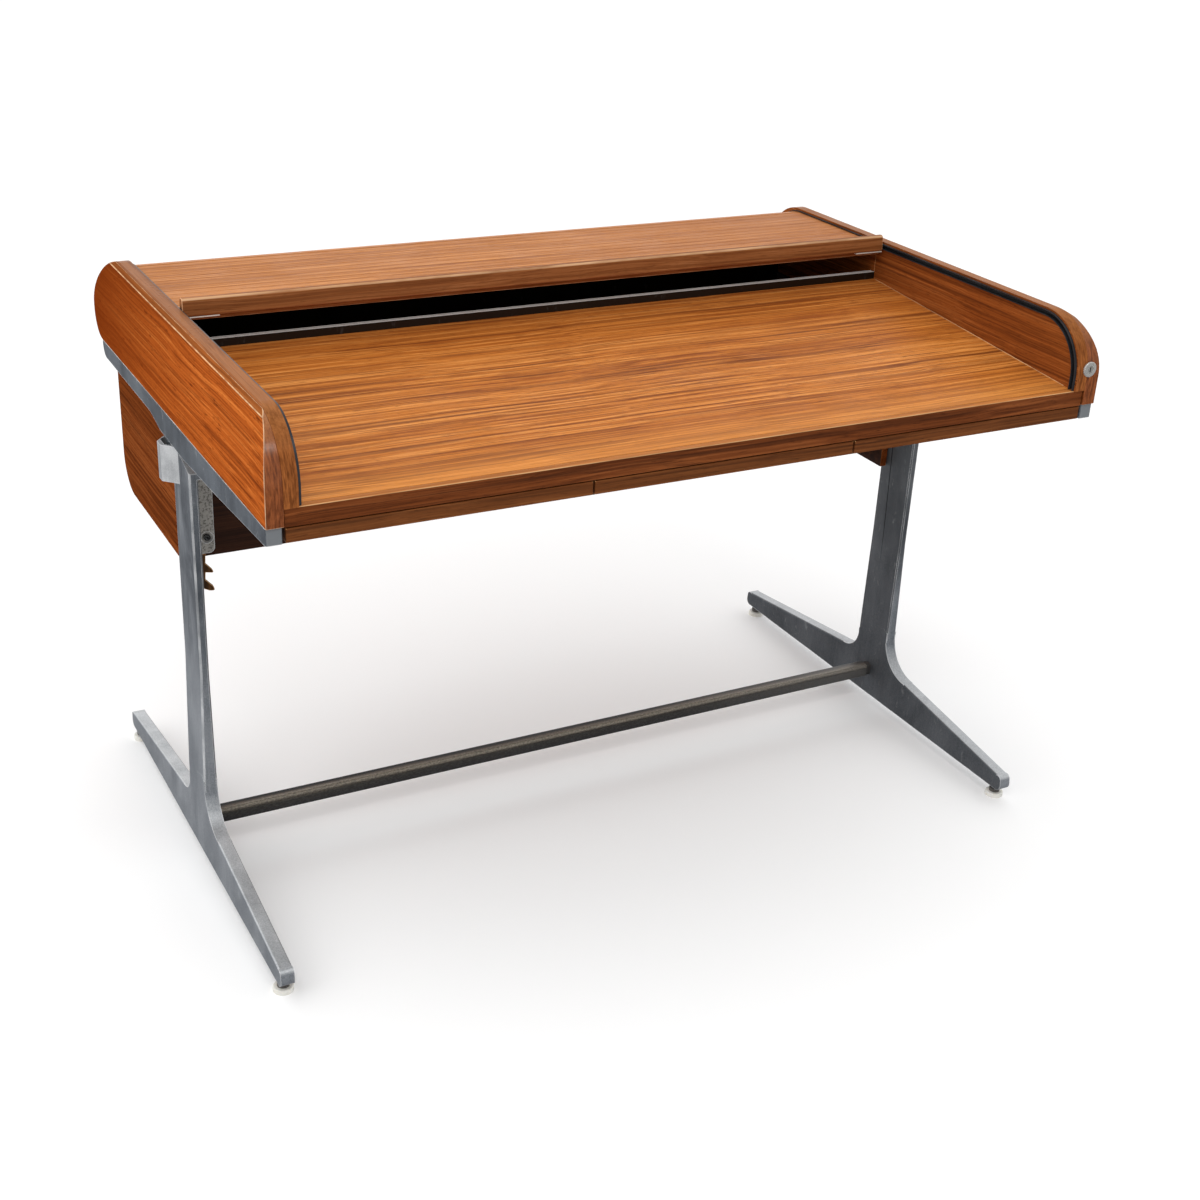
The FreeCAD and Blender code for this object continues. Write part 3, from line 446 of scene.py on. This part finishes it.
# near black: the liner is painted as the shade inside the file bin
M["liner"] = plastic("liner_painted_shade", (0.002, 0.002, 0.002), (0.005, 0.005, 0.005), 0.8)
M["hook"] = wood("hook_wood", "Z", (0.040, 0.016, 0.004), (0.070, 0.028, 0.007), (0.120, 0.050, 0.013), (0.022, 0.009, 0.003), 34.0, rough=0.5)
M["alu"] = metal("cast_aluminium", "Z", (0.165, 0.182, 0.204), (0.320, 0.337, 0.362), rough=(0.38, 0.54), seed=2.0, scuff=0.12, inner=(0.076, 0.081, 0.089), metallic=0.40,
                 bright=(0.92, 0.93, 0.94), brushed=0.22, edge=(0.35, 0.95), rim=0.0020, patch=(0.6022, 0.4905, 0.6225, (0.44, 0.42, 0.385)), grime=0.22,
                 line=(0.003, 0.0255, 0.264, 0.600), upward_painted_light=((0.29, 0.305, 0.32), (0.60, 0.615, 0.63)),
                 high=(0.30, 0.42, (0.070, 0.080, 0.094), 0.10, 0.90), head=(0.6055, -0.003, (0.26, 0.275, 0.29), (0.56, 0.57, 0.58)))
M["rail"] = metal("rail_aluminium", "Y", (0.042, 0.053, 0.067), (0.160, 0.180, 0.205), rough=(0.32, 0.46), seed=6.0, metallic=0.45, bright=(0.92, 0.93, 0.94), brushed=0.10,
                  edge=(0.45, 1.0), rim=0.0018, end_painted_light=(0.24, 0.255, 0.27), grime=0.2)
# the file rail strips: near-white upward faces are a painted highlight, the other faces painted near black as painted
# shade
M["bright"] = metal("file_strip_painted_highlight", "X", (0.86, 0.83, 0.78), (0.96, 0.94, 0.90), rough=(0.30, 0.42), scuff=0.05, seed=4.0, side=(0.012, 0.007, 0.004), metallic=0.15,
                    brushed=0.3)
M["plate"] = metal("plate_steel", "X", (0.62, 0.58, 0.52), (0.82, 0.78, 0.72), rough=(0.30, 0.42), scuff=0.05, seed=7.0, metallic=0.15)
M["steel"] = bar("stretcher_steel_painted_light", "stretcher_bar")
M["zinc"] = metal("dull_zinc", "Z", (0.10, 0.095, 0.09), (0.20, 0.19, 0.18), rough=(0.42, 0.6), scuff=0.2, seed=5.0)
M["bolt"] = metal("dark_bolt", "Z", (0.030, 0.028, 0.026), (0.075, 0.072, 0.068), rough=(0.35, 0.5), scuff=0.1, seed=12.0, rim=0.0008)
M["nickel"] = metal("satin_nickel", "Z", (0.46, 0.45, 0.43), (0.64, 0.63, 0.60), rough=(0.22, 0.34), scuff=0.0, seed=1.0, brushed=0.2, metallic=0.6, rim=0.0009, edge=(0.7, 1.0), bright=(0.95, 0.95, 0.93))
M["plug"] = metal("plug_nickel", "Z", (0.30, 0.29, 0.27), (0.50, 0.49, 0.46), rough=(0.30, 0.42), scuff=0.1, seed=3.0, brushed=0.2, metallic=0.4)
M["track"] = plastic("track_black", (0.012, 0.013, 0.015), (0.030, 0.032, 0.036), 0.34)
M["tray"] = plastic("tray_black", (0.014, 0.014, 0.015), (0.026, 0.026, 0.027), 0.5, 420.0, 0.3)
M["nylon"] = plastic("glide_nylon", (0.74, 0.72, 0.66), (0.86, 0.85, 0.80), 0.42, 120.0, 0.08, 0.1)
M["canvas"] = plastic("canvas_back", (0.06, 0.05, 0.04), (0.11, 0.09, 0.07), 0.85, 900.0, 0.5)
M["runner"] = plastic("runner_black", (0.02, 0.02, 0.02), (0.05, 0.05, 0.05), 0.5)

LOOK = {
    "outer_side_left": "side", "outer_side_right": "side", "inner_side_left": "cheek", "inner_side_right": "cheek",
    "writing_top": "top", "front_edging": "edging",
    "drawer_front_left": "drawer", "drawer_front_middle": "drawer", "drawer_front_right": "drawer",
    "bin_side_left": "bin", "bin_side_right": "bin", "bin_back_and_floor": "bin_x",
    "bin_front": "shade", "bin_liner": "liner", "liner_blocks": "liner", "cord_hook": "hook",
    "leg_left": "alu", "leg_right": "alu", "side_rail_left": "rail", "side_rail_right": "rail",
    "file_rail_front": "bright", "file_rail_rear": "bright", "lead_bar_plates": "plate",
    "tambour_track_left": "track", "tambour_track_right": "track",
    "drawer_tray_left": "tray", "drawer_tray_middle": "tray", "drawer_tray_right": "tray", "drawer_runners": "runner",
    "stretcher_bar": "steel", "stretcher_spigots": "zinc", "glide_studs": "zinc", "lug_screws": "bolt",
    "glide_pads": "nylon", "lock_housing": "nickel", "lock_plug": "plug", "tambour_canvas": "canvas",
}
for n in NODES:
    if n.startswith("tambour_s"):
        LOOK[n] = "tambour"
LOOK["tambour_lead_bar"] = "lead"


def dress(node, width, segments=2, angle=32.0, dissolve=True):
    """A finished copy of a node with eased arrises; wear marks the eased faces, and on the legs also the outward
    chamfers for a painted highlight.
    """
    src = NODES[node]
    bm = bmesh.new()
    bm.from_mesh(src.data)
    bmesh.ops.remove_doubles(bm, verts=bm.verts, dist=6e-5 if node.startswith("leg_") else 1e-5)
    if dissolve:
        bmesh.ops.dissolve_limit(bm, angle_limit=math.radians(0.5), verts=bm.verts, edges=bm.edges)
    bm.normal_update()
    lay = bm.faces.layers.float.new("wear")
    sharp = [e for e in bm.edges if len(e.link_faces) == 2 and e.calc_face_angle(0.0) > math.radians(angle)]
    if width > 0 and sharp:
        r = bmesh.ops.bevel(bm, geom=sharp, offset=width, offset_type="OFFSET", segments=segments, profile=0.5,
                            affect="EDGES", clamp_overlap=True, material=-1)
        for f in r["faces"]:
            f[lay] = 1.0
        if node.startswith("leg_"):
            bmesh.ops.remove_doubles(bm, verts=bm.verts, dist=1e-6)
    bm.normal_update()
    if node.startswith("outer_side"):
        for f in bm.faces:
            if f[lay] and abs(f.calc_center_median().x) < 0.6060 or f.normal.y > 0.4:
                f[lay] = 0.0
            elif f.normal.y < -0.3 and abs(f.calc_center_median().x) < 0.6125:
                f[lay] = 0.0
    if node == "front_edging":
        xe = max(abs(v.co.x) for v in bm.verts) - 0.004
        for f in bm.faces:
            if abs(f.calc_center_median().x) > xe:
                f[lay] = 0.0
    # the outward chamfers of the legs take the bright edge colour across their whole face: painted highlight along the
    # chamfers, besides the rubbed wear
    if node.startswith("leg_"):
        for f in bm.faces:
            if abs(f.normal.x) > 0.4 and abs(f.normal.y) > 0.4 and f.normal.x * f.calc_center_median().x > 0:
                f[lay] = max(f[lay], 0.55)
    me = bpy.data.meshes.new(node + "_finish")
    bm.to_mesh(me)
    bm.free()
    o = bpy.data.objects.new(node + "_finish", me)
    scene.collection.objects.link(o)
    for p in me.polygons:
        p.use_smooth = True
    me.materials.clear()
    me.materials.append(M[LOOK[node]])
    if node.startswith("outer_side"):
        me.materials.append(M["side_end"])
        me.materials.append(M["edging"])
        for q in me.polygons:
            if q.normal.y < -0.2:
                q.material_index = 1
            elif q.normal.x * q.center.x < -0.15:
                q.material_index = 2
    if node.startswith("bin_side"):
        me.materials.append(M["shade"])
        for q in me.polygons:
            if q.normal.x * q.center.x < -0.15:
                q.material_index = 1
    mod = o.modifiers.new("normals", "WEIGHTED_NORMAL")
    mod.keep_sharp = True
    mod.weight = 60
    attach(o, BODY_OF[node])
    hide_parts(node)
    return o


BEVEL = {
    "outer_side_left": 0.0016, "outer_side_right": 0.0016,
    "front_edging": 0.0015, "drawer_front_left": 0.0006, "drawer_front_middle": 0.0006, "drawer_front_right": 0.0006,
    "bin_side_left": 0.0012, "bin_side_right": 0.0012, "bin_back_and_floor": 0.001, "leg_left": 0.0018, "leg_right": 0.0018,
    "side_rail_left": 0.0012, "side_rail_right": 0.0012, "tambour_lead_bar": 0.001, "stretcher_bar": 0.0006, "cord_hook": 0.0011,
}
for n, wd in BEVEL.items():
    dress(n, wd, angle=15.0 if n.startswith("outer_side") else 32.0)

for n, o in NODES.items():
    o.data.materials.clear()
    o.data.materials.append(M[LOOK[n]])


def bead(name, pts, r, mat, body="desk"):
    """A thin three-sided bead along a line of points (metres)."""
    b = bmesh.new()
    rows = []
    for a in pts:
        rows.append([b.verts.new((a[0] + dx * r, a[1] + dy * r, a[2] + dz * r)) for dx, dy, dz in a[3]])
    for ra, rb in zip(rows, rows[1:]):
        for i in range(3):
            j = (i + 1) % 3
            b.faces.new((ra[i], ra[j], rb[j], rb[i]))
    b.faces.new(list(reversed(rows[0])))
    b.faces.new(rows[-1])
    bmesh.ops.recalc_face_normals(b, faces=b.faces)
    q = bpy.data.meshes.new(name)
    b.to_mesh(q)
    b.free()
    o = bpy.data.objects.new(name, q)
    scene.collection.objects.link(o)
    q.materials.append(mat)
    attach(o, body)
    return o


M["filler"] = wood("joint_filler_wood", "Y", (0.42, 0.20, 0.085), (0.60, 0.32, 0.14), (0.72, 0.42, 0.21), (0.24, 0.10, 0.04), 44.0)
top_o = NODES["writing_top"]
tv = [top_o.matrix_world @ v.co for v in top_o.data.vertices]


def top_z(y):
    """Height of the writing top's upper face at y."""
    fr = max((v for v in tv if v.y < min(q.y for q in tv) + 0.004), key=lambda v: v.z)
    bk = max((v for v in tv if v.y > max(q.y for q in tv) - 0.004), key=lambda v: v.z)
    return fr.z + (bk.z - fr.z) * (y - fr.y) / (bk.y - fr.y)


TOP_Y = (min(v.y for v in tv), max(v.y for v in tv))
CHEEK_X = 0.591
for sg, nm in ((-1, "left"), (1, "right")):
    tri = [(0.3 * sg, 0, -0.3), (-1.0 * sg, 0, -0.3), (0.3 * sg, 0, 1.0)]
    ys = [TOP_Y[0] + 0.012, -0.2, 0.0, TOP_Y[1] - 0.004]
    bead("top_joint_" + nm, [(sg * CHEEK_X, y, top_z(y), tri) for y in ys], 0.0010, M["filler"])

    tri = [(0.3 * sg, -0.6, 0), (0.3 * sg, 0.6, 0), (-0.6 * sg, 0, 0)]
    bead("cheek_seam_" + nm, [(sg * CHEEK_X, 0.0935, z, tri) for z in (top_z(TOP_Y[1]) + 0.002, 0.803)], 0.0006, M["filler"])

# key slot in the face of the plug
M["slot"] = plastic("key_slot_black", (0.004, 0.004, 0.004), (0.012, 0.012, 0.012), 0.6)
lo_, hi_ = (Vector(v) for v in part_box("lock_plug"))
cx_, cz_ = (lo_.x + hi_.x) / 2, (lo_.z + hi_.z) / 2
bm = bmesh.new()
bmesh.ops.create_cube(bm, size=1.0)
for v in bm.verts:
    v.co = Vector((cx_ + v.co.x * 0.0016, lo_.y + v.co.y * 0.0004, cz_ + v.co.z * 0.0068))
me = bpy.data.meshes.new("key_slot")
bm.to_mesh(me)
bm.free()
slot_o = bpy.data.objects.new("key_slot", me)
scene.collection.objects.link(slot_o)
me.materials.append(M["slot"])
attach(slot_o, "lock")

# ------------------------------------------------------------------ stage and light
k = Mat("floor_white")
k.b.inputs["Base Color"].default_value = (0.93, 0.93, 0.93, 1.0)
k.b.inputs["Roughness"].default_value = 0.9
k.b.inputs["Emission Color"].default_value = (1.0, 1.0, 1.0, 1.0)
k.b.inputs["Emission Strength"].default_value = 0.09
bm = bmesh.new()
bmesh.ops.create_grid(bm, x_segments=1, y_segments=1, size=200.0)
me = bpy.data.meshes.new("floor")
bm.to_mesh(me)
bm.free()
floor = bpy.data.objects.new("floor", me)
scene.collection.objects.link(floor)
me.materials.append(k.m)
floor.visible_glossy = False

world = bpy.data.worlds.new("world")
scene.world = world
world.use_nodes = True
wt = world.node_tree
bg = wt.nodes["Background"]
bg.inputs[1].default_value = 1.0
# white studio above, grey below the horizon
tc = wt.nodes.new("ShaderNodeTexCoord")
sx = wt.nodes.new("ShaderNodeSeparateXYZ")
rp = wt.nodes.new("ShaderNodeValToRGB")
mr = wt.nodes.new("ShaderNodeMapRange")
mr.inputs[1].default_value = -0.26
mr.inputs[2].default_value = -0.08
wt.links.new(tc.outputs["Generated"], sx.inputs[0])
wt.links.new(sx.outputs[2], mr.inputs[0])
wt.links.new(mr.outputs[0], rp.inputs[0])
rp.color_ramp.elements[0].color = (0.20, 0.20, 0.21, 1.0)
rp.color_ramp.elements[1].color = (1.0, 1.0, 1.0, 1.0)
my = wt.nodes.new("ShaderNodeMapRange")
my.inputs[1].default_value = -0.7
my.inputs[2].default_value = 0.7
my.inputs[3].default_value = 0.62
my.inputs[4].default_value = 1.38
wt.links.new(sx.outputs[1], my.inputs[0])
wt.links.new(my.outputs[0], bg.inputs[1])
wt.links.new(rp.outputs[0], bg.inputs[0])


def area(name, loc, target, size, power, color=(1, 1, 1)):
    d = bpy.data.lights.new(name, "AREA")
    d.shape = "RECTANGLE"
    d.size, d.size_y = size
    d.energy = power
    d.color = color
    o = bpy.data.objects.new(name, d)
    scene.collection.objects.link(o)
    o.location = loc
    o.rotation_euler = (Vector(target) - Vector(loc)).to_track_quat("-Z", "Y").to_euler()
    return o


area("key", (-1.2, -2.4, 3.6), (0.0, -0.2, 0.7), (2.4, 1.8), 26.0)
area("glint", (0.05, -2.1, 3.2), (0.0, -0.3, 0.8), (0.9, 0.6), 13.0)
area("fill", (-3.4, -0.6, 2.0), (-0.3, -0.1, 0.6), (2.0, 2.0), 14.0)

scene.view_settings.view_transform = "Standard"
scene.view_settings.look = "None"
scene.view_settings.exposure = 0.0
